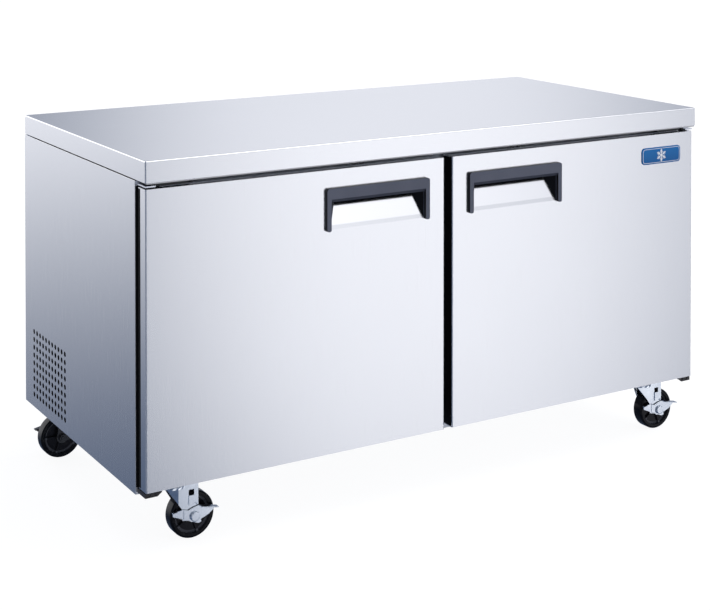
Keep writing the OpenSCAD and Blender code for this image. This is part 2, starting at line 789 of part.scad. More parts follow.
module condenser_coil() {
    y0 = cond_mid.y - 108;
    y1 = cond_mid.y + 102;
    z0 = base_z + base_t;
    z1 = bay_top - base_t - 12;
    depth = 44;
    rows = 6;
    shroud_x = cond_x + depth + 1;
    color("#2a2c30") {
        for (y = [y0:10:y1]) slab([cond_x, y, z0 + 8], [cond_x + depth, y + 1, z1]);
        for (i = [0:rows - 1], x = [cond_x + 11, cond_x + depth - 11])
            rod_y(4.5, x, z0 + 8 + (i + 0.5) * (z1 - z0 - 8) / rows, y0 - 6, y1 + 7);
        for (y = [y0 - 3, y1 + 2], i = [0:rows - 1])
            slab([cond_x + 6, y, z0 + 4 + (i + 0.5) * (z1 - z0 - 8) / rows],
                [cond_x + depth - 6, y + 2, z0 + 12 + (i + 0.5) * (z1 - z0 - 8) / rows]);
        difference() {
            slab([shroud_x - 2, y0 - 6, z0], [shroud_x, y1 + 8, z1 + 6]);
            rod_x(cond_fan_r + 4, cond_mid.y, cond_mid.z, shroud_x - 5, shroud_x + 5);
        }
    }
}

module condenser_fan() {
    color("silver") translate(cond_mid) rotate([0, 90, 0]) fan(cond_fan_r, 22, 20, 40, 28, 5);
}

module condenser_motor() {
    motor_x = cond_mid.x + 16;
    post = 8;
    color("dimgray") {
        translate([motor_x, cond_mid.y, cond_mid.z]) rotate([0, 90, 0]) round_can(36, 48, 5);
        rod_x(3, cond_mid.y, cond_mid.z, cond_mid.x - 9, motor_x + 4);
        slab([motor_x + 18, cond_mid.y - post, base_z + base_t],
            [motor_x + 30, cond_mid.y + post, cond_mid.z - 20]);
        slab([motor_x + 4, cond_mid.y - 30, base_z + base_t],
            [motor_x + 44, cond_mid.y + 30, base_z + base_t + 3]);
    }
}

// Brazed circuit: discharge line, liquid line with its filter drier, and suction line
module refrigerant_tubes() {
    back = back_y - 36;
    high = base_z + 150;
    low = base_z + 60;
    coil_y = cond_mid.y + 110;
    coil_mid = cond_x + 22;
    into_coil = evap_z0 + 29.5;
    can_x = compressor_at.x + compressor_r + 2.5;
    color("#b06a3c") {
        pipe([[compressor_at.x, compressor_at.y + compressor_r + 0.5, high],
            [compressor_at.x, back, high], [coil_mid, back, high], [coil_mid, coil_y + 1, high]], 4);
        pipe([[coil_mid, coil_y + 1, low], [coil_mid, back, low], [liquid_at.x, back, low],
            [liquid_at.x, liquid_at.y, low], [liquid_at.x, liquid_at.y, into_coil]], liquid_r);
        rod_x(13, back, low, -60, 40);
        rod_x(8, back, low, -75, 55);
        pipe([[can_x, compressor_at.y, low + 30], [-180, compressor_at.y, low + 30],
            [-180, suction_at.y, low + 30], [suction_at.x, suction_at.y, low + 30],
            [suction_at.x, suction_at.y, into_coil]], suction_r);
    }
}

module condensate_pan() {
    z0 = base_z + base_t;
    color("#b9bcc2") difference() {
        slab([-150, bay_y + 25, z0], [150, back_y - 60, z0 + 32]);
        slab([-148, bay_y + 27, z0 + 2], [148, back_y - 62, z0 + 33]);
    }
}

// Supply cord, folded in the machine bay, with its plug
module power_cord() {
    cord_r = 4.5;
    fold = 70;
    fold_pitch = 14;
    folds = 7;
    plug_r = 15;
    plug_x0 = fold - 4;
    plug_x1 = plug_x0 + 34;
    plug_z = plug_r - cord_r + 0.1;
    pin_end = plug_x1 + 18;
    end_y = (folds - 1) * fold_pitch;
    color("#17181a") translate([half_w - 250, cond_mid.y - 40, base_z + base_t + cord_r]) {
        pipe([for (i = [0:folds - 1], e = [0, 1]) [(i + e) % 2 == 0 ? -fold : fold, i * fold_pitch, 0]],
            cord_r);
        translate([plug_x0, end_y, plug_z]) rotate([0, 90, 0]) round_can(plug_r, plug_x1 - plug_x0, 3);
        for (y = [-6, 6]) slab([plug_x1 - 4, end_y + y - 0.8, plug_z - 1],
            [pin_end, end_y + y + 0.8, plug_z + 5]);
        rod_x(2.4, end_y, plug_z - 7, plug_x1 - 4, pin_end);
    }
}

module rear_grille() {
    z0 = base_z + base_t;
    slot_w = 120;
    slot_h = 7;
    cols = 8;
    rows = 9;
    color("silver") difference() {
        slab([-skin_x, back_y - sheet, base_z], [skin_x, back_y, bay_top]);
        for (i = [0:cols - 1], j = [0:rows - 1])
            slab([(i - (cols - 1) / 2) * overall_w / 9 - slot_w / 2, back_y - 3, z0 + 20 + j * 19],
                [(i - (cols - 1) / 2) * overall_w / 9 + slot_w / 2, back_y + 1, z0 + 20 + slot_h + j * 19]);
    }
}

// Screws that hold the caster plates to the floor sheets
module screws() {
    color("silver") {
        for (i = [0:3]) at_caster(i)
            for (x = [-plate_hole_x, plate_hole_x], y = [-plate_hole_y, plate_hole_y])
                translate([x, y, base_z - 3]) screw(3 + base_t);
    }
}

// ---------- casters, drawn about the swivel axis with the wheel trailing to +X ----------

module caster_plates() {
    color("silver") for (i = [0:3]) at_caster(i) {
        difference() {
            union() {
                slab([-50, -40, base_z - 3], [50, 40, base_z]);
                translate([0, 0, base_z - 10]) cylinder(r = 28, h = 8);
            }
            for (x = [-plate_hole_x, plate_hole_x], y = [-plate_hole_y, plate_hole_y])
                translate([x, y, base_z - 4]) cylinder(r = screw_r + 0.2, h = 5);
        }
        translate([0, 0, crown_z0 - 1]) cylinder(r = kingpin_r, h = base_z - crown_z0 - 1);
        translate([0, 0, crown_z0 - 4]) cylinder(r = 11, h = 3.5);
    }
}

// Fork leg in the XZ plane
module leg_outline() {
    knee_x = trail - 27;
    translate([trail, axle_z]) circle(14);
    polygon([[leg_left, crown_z1], [leg_right, crown_z1], [leg_right, axle_z + 20], [trail + 13, axle_z + 5],
        [trail - 10, axle_z - 9.5], [knee_x, axle_z - 6], [knee_x, axle_z + 17]]);
}

// Fork leg seen from above: flat beside the wheel, and bent inwards ahead of it
module leg_plan() {
    polygon([[trail + 15, -leg_face], [trail + 15, -fork_gap], [leg_bend + 1, -fork_gap],
        [leg_left, fork_t - leg_tip], [leg_left, -leg_tip], [leg_bend, -leg_face]]);
}

module fork_leg() {
    rib_x = trail - 12;
    rib_w = 13;
    rib_t = 2.2;
    window_z = axle_z + 46;
    difference() {
        intersection() {
            along_y(-leg_face, 0) leg_outline();
            translate([0, 0, axle_z - 20]) linear_extrude(height = crown_z1) leg_plan();
        }
        slab([rib_x, -leg_face - 1, window_z], [rib_x + rib_w, 0, window_z + 12]);
    }
    along_y(-leg_face - rib_t, 1 - leg_face)
        round_rect([rib_x, axle_z + 24.5], [rib_x + rib_w, window_z], 1.5);
}

module fork() {
    color("#c9ced6") difference() {
        union() {
            translate([0, 0, crown_z0]) cylinder(r = 30, h = crown_z1 - crown_z0);
            translate([0, 0, crown_z0]) linear_extrude(height = fork_t) polygon([[leg_right, -leg_face],
                [leg_right, leg_face], [leg_bend, leg_face], [leg_left, leg_tip], [leg_left, -leg_tip],
                [leg_bend, -leg_face]]);
            fork_leg();
            mirror([0, 1, 0]) fork_leg();
        }
        translate([0, 0, crown_z0 - 1]) cylinder(r = kingpin_r + running, h = 20);
        rod_y(axle_r + running, trail, axle_z, -fork_gap - 10, fork_gap + 10);
    }
}

// Tyre and spoked hub turned as one
module wheel() {
    tyre = 10;
    shoulder = 5;
    r = wheel_d / 2;
    half = wheel_w / 2;
    color("#101114") translate([trail, 0, axle_z]) rotate([90, 0, 0]) difference() {
        union() {
            translate([0, 0, -half]) difference() {
                round_can(r, wheel_w, shoulder);
                for (z = [-1, wheel_w - 8]) translate([0, 0, z]) cylinder(r = r - tyre, h = 9);
            }
            translate([0, 0, -half - 2]) cylinder(r = 12, h = wheel_w + 4);
            difference() {
                for (a = [0:72:288]) rotate([0, 0, a])
                    slab([0, -2.5, -half + 3], [r - tyre + 1, 2.5, half - 3]);
                for (z = [-half - 1, half - 2]) translate([0, 0, z]) cylinder(r = 20, h = 3);
            }
        }
        translate([0, 0, -wheel_w]) cylinder(r = axle_r + running, h = 2 * wheel_w);
    }
}

// Bolt with a low round head and a nut
module axle() {
    head_y = -leg_face - 5.5;
    nut_y = leg_face + 0.2;
    color("silver") {
        rod_y(axle_r, trail, axle_z, head_y - 1, nut_y + 9);
        translate([trail, head_y, axle_z]) rotate([90, 0, 0]) round_can(10.5, 4.5, 2);
        rod_y(9.5, trail, axle_z, nut_y, nut_y + 7, 6);
    }
}

// Pressed side lever with a foot pedal; it turns on the axle bolt
module brake() {
    lever_t = 2;
    y1 = -leg_face - 2.4;
    pedal_w = 13;
    rib_t = 1.2;
    color("#c9ced6") translate([trail, 0, axle_z]) difference() {
        union() {
            along_y(y1 - lever_t, y1) polygon([[-52, 16], [-51, 8], [9, -17], [16, -15], [15, -9],
                [34, -2], [51, 12], [51, 14], [12, 22], [-2, 19], [-14, 15], [-28, 19]]);
            along_y(y1 - lever_t - rib_t, y1 - lever_t / 2) polygon([[-26, 18], [-26, -2], [-14, -7],
                [-14, 14.5]]);
            along_y(y1 - pedal_w, y1) polygon([[12, 20], [12, 22], [53, 14], [53, 12]]);
            along_y(y1 - pedal_w / 2, y1) polygon([[-53, 15], [-53, 17], [-42, 18], [-42, 16]]);
        }
        rod_y(axle_r + running, 0, 0, y1 - pedal_w - 1, y1 + 1);
    }
}

worktop();
left_side_panel();
right_side_panel();
back_panel();
base_panel();
cabinet_foam();
inner_liner();
front_frame();
centre_mullion();
rail_caps();
hinge_brackets();
shelf_pilasters();
shelf_clips();
evaporator_coil();
evaporator_cover();
evaporator_motor();
temperature_controller();
unit_tray();
compressor();
condenser_coil();
condenser_motor();
refrigerant_tubes();
condensate_pan();
power_cord();
rear_grille();
caster_plates();
screws();
evaporator_fan();
condenser_fan();
left_shelf();
right_shelf();
left_door_skin();
left_door_foam();
left_door_liner();
left_door_gasket();
left_door_handle();
left_door_bushes();
right_door_skin();
right_door_foam();
right_door_liner();
right_door_gasket();
right_door_handle();
right_door_bushes();
badge();
at_caster(0) fork();  // front_left_fork
at_caster(0) wheel();  // front_left_wheel
at_caster(0) axle();  // front_left_axle
at_caster(0) brake();  // front_left_brake
at_caster(1) fork();  // front_right_fork
at_caster(1) wheel();  // front_right_wheel
at_caster(1) axle();  // front_right_axle
at_caster(1) brake();  // front_right_brake
at_caster(2) fork();  // rear_left_fork
at_caster(2) wheel();  // rear_left_wheel
at_caster(2) axle();  // rear_left_axle
at_caster(2) brake();  // rear_left_brake
at_caster(3) fork();  // rear_right_fork
at_caster(3) wheel();  // rear_right_wheel
at_caster(3) axle();  // rear_right_axle
at_caster(3) brake();  // rear_right_brake
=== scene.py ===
import json
import math

import bmesh
import bpy
from mathutils import Matrix, Vector


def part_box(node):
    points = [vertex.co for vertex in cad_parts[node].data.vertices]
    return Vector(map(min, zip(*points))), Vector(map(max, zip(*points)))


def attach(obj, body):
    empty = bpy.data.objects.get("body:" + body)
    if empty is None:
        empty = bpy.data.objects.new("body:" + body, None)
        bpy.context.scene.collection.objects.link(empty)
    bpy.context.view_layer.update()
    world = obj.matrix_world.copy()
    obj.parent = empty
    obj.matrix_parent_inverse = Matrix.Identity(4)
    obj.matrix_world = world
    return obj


# Looks of a two-door under counter refrigerator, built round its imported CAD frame.
# Lengths are metres in the row frame: +X right, -Y towards the person at the doors, +Z up.

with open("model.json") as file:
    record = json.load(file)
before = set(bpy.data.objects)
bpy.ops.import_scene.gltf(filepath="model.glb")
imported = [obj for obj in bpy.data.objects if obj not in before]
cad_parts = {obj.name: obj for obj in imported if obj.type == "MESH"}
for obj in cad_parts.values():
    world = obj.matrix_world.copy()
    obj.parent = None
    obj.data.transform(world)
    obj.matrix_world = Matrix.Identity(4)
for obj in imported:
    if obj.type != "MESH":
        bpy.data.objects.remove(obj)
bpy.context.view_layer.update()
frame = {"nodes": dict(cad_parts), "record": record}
scene = bpy.context.scene
nodes = frame["nodes"]

DOORS = ("left", "right")
MM = 0.001
RIGHT_ANGLE = 90


# ---------- node trees ----------

NOISE_LOW, NOISE_HIGH = 0.3, 0.7


class NodeKit:
    """Short calls that build a node tree."""

    def __init__(self, tree):
        self.tree = tree

    def put(self, socket, value):
        if isinstance(value, bpy.types.NodeSocket):
            self.tree.links.new(value, socket)
        else:
            socket.default_value = value

    def add(self, kind, inputs=None, **settings):
        """A node of a kind; shader kinds go without their "ShaderNode" prefix."""
        full_name = kind.startswith(("Geometry", "NodeGroup"))
        node = self.tree.nodes.new(kind if full_name else "ShaderNode" + kind)
        for key, value in settings.items():
            setattr(node, key, value)
        for key, value in (inputs or {}).items():
            self.put(node.inputs[key], value)
        return node

    def math(self, operation, *values):
        return self.add("Math", dict(enumerate(values)), operation=operation).outputs[0]

    def fit(self, value, low, high, to_low=0.0, to_high=1.0, smooth=False):
        """Carries low to high over to to_low to to_high, and clamps what lies outside."""
        kind = "SMOOTHSTEP" if smooth else "LINEAR"
        made = self.add("MapRange", {"Value": value, "From Min": low, "From Max": high,
                                     "To Min": to_low, "To Max": to_high}, interpolation_type=kind)
        return made.outputs["Result"]

    def vary(self, noise, to_low=0.0, to_high=1.0):
        """Spreads the middle of a noise, where nearly all of it lies, over a range."""
        return self.fit(noise, NOISE_LOW, NOISE_HIGH, to_low, to_high)

    def mix(self, factor, a, b):
        made = self.add("Mix", data_type="RGBA")
        for key, value in ((0, factor), (6, a), (7, b)):
            self.put(made.inputs[key], value)
        return made.outputs[2]


class Tree(NodeKit):
    """One material round a single Principled shader."""

    def __init__(self, name):
        self.material = bpy.data.materials.new(name)
        self.material.use_nodes = True
        super().__init__(self.material.node_tree)
        self.shader = self.tree.nodes["Principled BSDF"]

    def place(self):
        """The point's place in the row frame, with its body at rest."""
        return self.add("TexCoord").outputs["Object"]

    def axis(self, letter, of="Object"):
        return self.add("SeparateXYZ", {0: self.add("TexCoord").outputs[of]}).outputs[letter]

    def stretched(self, scale):
        """The place times a scale: one number, or one each for X, Y and Z."""
        scale = scale if isinstance(scale, tuple) else (scale,) * 3
        return self.add("VectorMath", {0: self.place(), 1: scale}, operation="MULTIPLY").outputs[0]

    def noise(self, scale, detail=3.0, rough=0.5):
        """Noise from 0 to 1; scale is repeats to the metre."""
        made = self.add("TexNoise", {"Vector": self.stretched(scale), "Scale": 1.0, "Detail": detail,
                                     "Roughness": rough})
        return made.outputs["Fac"]

    def cells(self, scale):
        """A random colour to each cell; scale is cells to the metre."""
        made = self.add("TexVoronoi", {"Vector": self.stretched(scale), "Scale": 1.0})
        return made.outputs["Color"]

    def bump(self, height, depth, strength=1.0):
        made = self.add("Bump", {"Height": height, "Distance": depth, "Strength": strength})
        self.put(self.shader.inputs["Normal"], made.outputs["Normal"])

    def surface(self, **values):
        names = {"colour": "Base Color", "rough": "Roughness", "metal": "Metallic", "coat": "Coat Weight",
                 "specular": "Specular IOR Level"}
        for key, value in values.items():
            self.put(self.shader.inputs[names[key]], value)
        return self.material


def rgb(red, green, blue):
    return (red, green, blue, 1.0)


def shade(colour, factor):
    return rgb(*(min(1.0, part * factor) for part in colour[:3]))


# ---------- materials ----------

STEEL = rgb(0.80, 0.80, 0.805)
# Polishing lines: repeats to the metre across them and along them, and how far they vary the roughness
FINE, COARSE = 2600.0, 9.0
LINE_GLOSS = 0.004
PRESSED_GLOSS = 0.13


def brushed_steel(name, grain, rough=0.27, pressed_from=None):
    """Stainless sheet with its polishing lines along one axis, and faint patches of wear.

    Where the sheet is pressed in, from pressed_from on along Y, the die has left it smoother."""
    t = Tree(name)
    lines = t.noise(tuple(COARSE if axis == grain else FINE for axis in "XYZ"), 2.0)
    patches = t.noise(2.2, 4.0, 0.6)
    t.bump(lines, 0.00001, 0.012)
    gloss = t.vary(lines, rough - LINE_GLOSS, rough + LINE_GLOSS)
    if pressed_from is not None:
        pressed = t.fit(t.axis("Y"), pressed_from, pressed_from + MM, 0.0, PRESSED_GLOSS)
        gloss = t.math("SUBTRACT", gloss, pressed)
    return t.surface(colour=t.mix(t.vary(patches), shade(STEEL, 0.99), shade(STEEL, 1.01)),
                     rough=gloss, metal=1.0)


def galvanised():
    """Zinc-coated sheet with its fine spangle and a cloudy bloom."""
    t = Tree("galvanised")
    spangle = t.add("SeparateColor", {0: t.cells(150.0)}).outputs[0]
    bloom = t.noise(5, 5.0, 0.6)
    tone = t.math("MULTIPLY_ADD", spangle, 0.35, bloom)
    return t.surface(colour=t.mix(tone, rgb(0.56, 0.58, 0.61), rgb(0.70, 0.72, 0.75)),
                     rough=t.fit(tone, 0.3, 1.0, 0.36, 0.5), metal=0.85)


def foam():
    """Poured insulation: small closed cells and a darker skin."""
    t = Tree("foam")
    grit = t.noise(420, 4.0)
    t.bump(grit, 0.0006)
    return t.surface(colour=t.mix(t.noise(14), rgb(0.80, 0.66, 0.40), rgb(0.92, 0.82, 0.60)),
                     rough=t.vary(grit, 0.8, 0.95))


def painted(name, colour, rough, peel=0.00004, coat=0.0):
    """Sprayed paint with a fine orange peel and a slight unevenness of tone."""
    t = Tree(name)
    t.bump(t.noise(900, 1.0), peel, 0.6)
    tone = t.noise(6, 4.0)
    return t.surface(colour=t.mix(tone, shade(colour, 0.93), shade(colour, 1.05)),
                     rough=t.vary(t.noise(60), rough - 0.04, rough + 0.06), coat=coat)


def moulded(name, colour, rough, grit=0.00006, specular=0.5):
    """Moulded plastic or rubber with a spark-eroded texture."""
    t = Tree(name)
    pebble = t.noise(2200, 2.0)
    t.bump(pebble, grit, 0.7)
    tone = t.vary(t.noise(11, 4.0))
    return t.surface(colour=t.mix(tone, shade(colour, 0.86), shade(colour, 1.16)),
                     rough=t.vary(pebble, rough - 0.05, rough + 0.07), specular=specular)


def surround_painted_side_shade(name):
    """Moulding with a slate blue front; its side and under faces are painted near black as shade."""
    t = Tree(name)
    pebble = t.noise(2200, 2.0)
    t.bump(pebble, 0.00005, 0.7)
    # Faces turned away from the front get near black colour and less shine: painted shade.
    ahead = t.fit(t.axis("Y", "Normal"), -0.97, -0.75, 1.0, 0.0)
    tone = t.vary(t.noise(11, 4.0))
    slate = t.mix(tone, rgb(0.056, 0.063, 0.092), rgb(0.072, 0.080, 0.113))
    return t.surface(colour=t.mix(ahead, rgb(0.003, 0.003, 0.004), slate),
                     rough=t.vary(pebble, 0.34, 0.46), specular=t.fit(ahead, 0, 1, 0.15, 0.5))


def plated_layers(t, colour, rough):
    """Bright zinc: cloudy tone, fine pressing lines and duller patches."""
    cloud = t.noise(42, 5.0, 0.6)
    colour = t.mix(cloud, shade(colour, 0.84), shade(colour, 1.08))
    return colour, t.vary(cloud, rough - 0.06, rough + 0.12)


def plated(name, colour, rough=0.24):
    t = Tree(name)
    tone, gloss = plated_layers(t, colour, rough)
    t.bump(t.noise((700, 700, 180), 2.0), 0.00003, 0.6)
    return t.surface(colour=tone, rough=gloss, metal=1.0)


def hinge_metal(split_z):
    """Bright plates above the doors; dark coated brackets below them."""
    t = Tree("hinge_metal")
    high = t.fit(t.axis("Z"), split_z - MM, split_z + MM)
    tone, gloss = plated_layers(t, rgb(0.83, 0.84, 0.88), 0.28)
    dark = t.mix(t.noise(90, 4.0), rgb(0.006, 0.005, 0.005), rgb(0.020, 0.016, 0.015))
    t.bump(t.noise(800, 2.0), 0.00004, 0.5)
    return t.surface(colour=t.mix(high, dark, tone), rough=gloss, metal=high)


def wheel_rubber(node):
    """Glossy black tyre, a paler moulded ring inside it, and a satin plastic hub."""
    low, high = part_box(node)
    centre = (low + high) / 2
    t = Tree("tyre_" + node)
    away = t.add("VectorMath", {0: t.place(), 1: centre}, operation="SUBTRACT").outputs[0]
    flat = t.add("VectorMath", {0: away, 1: (1, 0, 1)}, operation="MULTIPLY").outputs[0]
    radius = t.add("VectorMath", {0: flat}, operation="LENGTH").outputs["Value"]
    rim = (high.x - low.x) / 2
    # How far in from the tread the tyre ends, and the ring
    tyre = t.fit(radius, rim - 10.2 * MM, rim - 9.8 * MM)
    ring = t.math("MULTIPLY", t.fit(radius, rim - 16 * MM, rim - 15 * MM), t.math("SUBTRACT", 1.0, tyre))
    scuffs = t.fit(t.noise(160, 5.0, 0.65), 0.52, 0.75)
    rubber = t.mix(scuffs, rgb(0.002, 0.002, 0.003), rgb(0.012, 0.012, 0.014))
    hub = t.mix(t.noise(40), rgb(0.003, 0.003, 0.004), rgb(0.010, 0.010, 0.013))
    colour = t.mix(tyre, t.mix(ring, hub, rgb(0.055, 0.057, 0.068)), rubber)
    t.bump(t.noise(1400, 2.0), 0.00005, 0.3)
    return t.surface(colour=colour, rough=t.fit(scuffs, 0.0, 1.0, 0.12, 0.35), specular=0.15)


def finned(name):
    """Thin aluminium fins across X, told apart by a fine stripe."""
    t = Tree(name)
    comb = t.noise((900, 4, 4), 1.0)
    t.bump(comb, 0.0003, 0.6)
    return t.surface(colour=t.mix(comb, rgb(0.50, 0.51, 0.53), rgb(0.82, 0.83, 0.85)),
                     rough=t.vary(comb, 0.28, 0.5), metal=1.0)


def badge_enamel():
    """Deep blue gloss that darkens a little towards its lower edge."""
    low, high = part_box("badge")
    t = Tree("badge_blue")
    rise = t.fit(t.axis("Z"), low.z, high.z)
    fleck = t.noise(600, 2.0)
    return t.surface(colour=t.mix(rise, rgb(0.002, 0.085, 0.27), rgb(0.004, 0.135, 0.39)),
                     rough=t.vary(fleck, 0.2, 0.3), specular=0.2, coat=0.05)


def make_materials():
    """One material for each slot of the record, by slot name."""
    return {
        "stainless": brushed_steel("steel_grain_x", "X"),
        "galvanised": galvanised(),
        "foam": foam(),
        "liner": painted("liner", rgb(0.80, 0.815, 0.85), 0.38),
        "black_plastic": moulded("black_plastic", rgb(0.010, 0.010, 0.012), 0.42),
        "zinc": plated("zinc", rgb(0.84, 0.88, 0.92), 0.17),
        "fins": finned("fins"),
        "motor": painted("motor", rgb(0.16, 0.17, 0.19), 0.45),
        "black_enamel": painted("black_enamel", rgb(0.006, 0.006, 0.007), 0.25, coat=0.2),
        "copper": plated("copper", rgb(0.78, 0.40, 0.25), 0.30),
        "rubber": moulded("rubber", rgb(0.014, 0.014, 0.015), 0.55),
        "coated_wire": painted("coated_wire", rgb(0.82, 0.83, 0.84), 0.30, coat=0.3),
        "badge_blue": badge_enamel(),
        "seal": moulded("seal", rgb(0.016, 0.016, 0.02), 0.5, 0.00003),
        "handle_plastic": surround_painted_side_shade("handle_plastic"),
        "nylon": moulded("nylon", rgb(0.02, 0.02, 0.022), 0.4, 0.00002),
    }


def paint_nodes(slots):
    """Gives every CAD node its finish."""
    low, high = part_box("left_door_skin")
    upright = brushed_steel("steel_grain_z", "Z")
    door = brushed_steel("door_steel", "Z", pressed_from=low.y + 3 * MM)
    own_steel = {"left_side_panel": upright, "right_side_panel": upright, "centre_mullion": upright,
                 "shelf_pilasters": upright, "left_door_skin": door, "right_door_skin": door,
                 "front_frame": brushed_steel("mill_finish", "X", 0.5)}
    hinges = hinge_metal((low.z + high.z) / 2)
    for part in frame["record"]["subparts"]:
        name = part["node"]
        if name in own_steel:
            look = own_steel[name]
        elif part["material_slot"] == "hinge_steel":
            look = hinges
        elif part["material_slot"] == "tyre":
            look = wheel_rubber(name)
        else:
            look = slots[part["material_slot"]]
        mesh = nodes[name].data
        mesh.materials.clear()
        mesh.materials.append(look)


# ---------- edges ----------

# Radii in millimetres, angles in degrees, and how many faces round an edge
HANDLE_EDGE, HANDLE_STEPS = 1.5, 3
PLAIN_EDGE, PLAIN_STEPS = 0.4, 1
FOLD_STEPS = 5
SHARP_ANGLE = 35
FLAT_ANGLE = 1
WELD_GAP = 0.01
REACH_GAP = 0.02
# Folded sheets: the radius of a fold, and the sides of the node's box that meet in folds
FOLDED = {"worktop": (3.0, "LRFBT"), "left_door_skin": (3.0, "LRF"), "right_door_skin": (3.0, "LRF"),
          "left_side_panel": (0.6, "LFBUT"), "right_side_panel": (0.6, "RFBUT")}
# Left, right, front, back, under and top: the axis, and which corner of the box gives the place
SIDES = {"L": ("X", 0), "R": ("X", 1), "F": ("Y", 0), "B": ("Y", 1), "U": ("Z", 0), "T": ("Z", 1)}


def fold_marks(node):
    """Geometry nodes that mark, for the bevel, each edge where two folded sides of the node meet."""
    group = bpy.data.node_groups.new("folds_of_" + node, "GeometryNodeTree")
    for way in ("INPUT", "OUTPUT"):
        group.interface.new_socket("Geometry", in_out=way, socket_type="NodeSocketGeometry")
    t = NodeKit(group)
    middle = t.add("SeparateXYZ", {0: t.add("GeometryNodeInputPosition").outputs[0]})
    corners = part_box(node)
    count = 0.0
    for side in FOLDED[node][1]:
        letter, end = SIDES[side]
        reach = corners[end]["XYZ".index(letter)]
        on_side = t.math("COMPARE", middle.outputs[letter], reach, REACH_GAP * MM)
        count = t.math("ADD", count, on_side)
    marked = t.add("GeometryNodeStoreNamedAttribute", data_type="FLOAT", domain="EDGE")
    t.put(marked.inputs["Geometry"], t.add("NodeGroupInput").outputs[0])
    t.put(marked.inputs["Name"], "bevel_weight_edge")
    t.put(marked.inputs["Value"], t.math("GREATER_THAN", count, 1.5))
    t.add("NodeGroupOutput", {0: marked.outputs[0]})
    return group


def soften(node):
    """Rounds a node's sharp edges, so that they catch the light as pressed and moulded ones do."""
    o = nodes[node]
    weld = o.modifiers.new("weld", "WELD")
    weld.merge_threshold = WELD_GAP * MM
    if node in FOLDED:
        flat = o.modifiers.new("flat", "DECIMATE")
        flat.decimate_type = "DISSOLVE"
        flat.angle_limit = math.radians(FLAT_ANGLE)
        o.modifiers.new("folds", "NODES").node_group = fold_marks(node)
    bevel = o.modifiers.new("edges", "BEVEL")
    bevel.harden_normals = True
    bevel.use_clamp_overlap = node not in FOLDED
    if node in FOLDED:
        bevel.limit_method = "WEIGHT"
        bevel.width = FOLDED[node][0] * MM
        bevel.segments = FOLD_STEPS
    else:
        handle = node.endswith("_handle")
        bevel.limit_method = "ANGLE"
        bevel.angle_limit = math.radians(SHARP_ANGLE)
        bevel.width = (HANDLE_EDGE if handle else PLAIN_EDGE) * MM
        bevel.segments = HANDLE_STEPS if handle else PLAIN_STEPS


# ---------- pieces built here ----------

def piece(name, mesh, material, body):
    """A new piece from a mesh in the row frame, riding on a CAD body."""
    made = bpy.data.objects.new(name, mesh)
    scene.collection.objects.link(made)
    mesh.materials.append(material)
    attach(made, body)
    return made


def finished(b, name):
    """Turns a bmesh into a mesh, with its faces outwards."""
    bmesh.ops.recalc_face_normals(b, faces=b.faces)
    mesh = bpy.data.meshes.new(name)
    b.to_mesh(mesh)
    b.free()
    return mesh


def band(b, first, second):
    """Adds the faces between two closed rings with as many points each."""
    for i in range(len(first)):
        j = (i + 1) % len(first)
        b.faces.new((first[i], first[j], second[j], second[i]))


def swept(b, outline, ends, point):
    """Adds an outline carried straight from one end to the other; point(u, v, end) gives its corners."""
    rings = [[b.verts.new(point(u, v, end)) for u, v in outline] for end in ends]
    for ring in rings:
        b.faces.new(ring)
    band(b, *rings)


def prism(b, outline, depth, place):
    """Adds a flat outline, extruded along its own -Y by depth, at a place."""
    swept(b, outline, (-depth, 0.0), lambda x, z, y: place @ Vector((x, y, z)))


def bar(b, start, end, width, depth, place):
    """Adds a flat bar with pointed ends between two points of the XZ plane."""
    start, end = Vector(start), Vector(end)
    along = (end - start).normalized()
    side = Vector((-along.y, along.x)) * width / 2
    tip = along * width / 2
    outline = [start - tip, start - side, end - side, end + tip, end + side, start + side]
    prism(b, outline, depth, place)


def crystal():
    """Snow crystal in raised white enamel on the badge."""
    low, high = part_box("badge")
    arm = (high.z - low.z) * 0.37
    heart, arm_width, twig_width, twig_foot = arm * 0.08, arm * 0.13, arm * 0.09, arm * 0.04
    # For each pair of twigs, in arm lengths: where it leaves the arm, and how far out it leans
    twigs = ((0.42, 0.24), (0.68, 0.20))
    twig_rise = 0.75
    arms = 6
    arm_height, twig_height = 0.5 * MM, 0.45 * MM
    place = Matrix.Translation(((low.x + high.x) / 2, low.y, (low.z + high.z) / 2))
    b = bmesh.new()
    for step in range(arms):
        turned = place @ Matrix.Rotation(math.radians(360 / arms * step), 4, "Y")
        bar(b, (0, heart), (0, arm), arm_width, arm_height, turned)
        for reach, lean in twigs:
            tip_z = arm * (reach + lean * twig_rise)
            for side in (-1, 1):
                foot = (side * twig_foot, arm * reach)
                bar(b, foot, (side * arm * lean, tip_z), twig_width, twig_height, turned)
    return finished(b, "badge_crystal")


def worktop_hem():
    """Rolled hem under the worktop's front edge: a round nose and a flat return, as (y, z) points."""
    low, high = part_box("worktop")
    nose, drop, back, sheet = 1.9 * MM, 1.1 * MM, 10 * MM, 0.8 * MM
    centre = Vector((low.y + nose, low.z - drop))
    turn = [math.radians(angle) for angle in range(60, 271, 15)]
    outline = [(centre.x + nose * math.cos(a), centre.y + nose * math.sin(a)) for a in turn]
    under, over = centre.y - nose, centre.y - nose + sheet
    outline += [(centre.x + back, under), (centre.x + back, over), (centre.x + nose, over)]
    inset = 4 * MM
    b = bmesh.new()
    swept(b, outline, (low.x + inset, high.x - inset), lambda y, z, x: (x, y, z))
    return finished(b, "worktop_hem")


def trim_strip(b, low, high):
    """Adds an upright soft strip with chamfered long edges, between two corners."""
    low, high = Vector(low), Vector(high)
    size = high - low
    chamfer = min(size.x, size.y) * 0.3
    outline = [(low.x + chamfer, low.y), (high.x - chamfer, low.y), (high.x, low.y + chamfer),
               (high.x, high.y - chamfer), (high.x - chamfer, high.y), (low.x + chamfer, high.y),
               (low.x, high.y - chamfer), (low.x, low.y + chamfer)]
    swept(b, outline, (low.z, high.z), lambda x, y, z: (x, y, z))


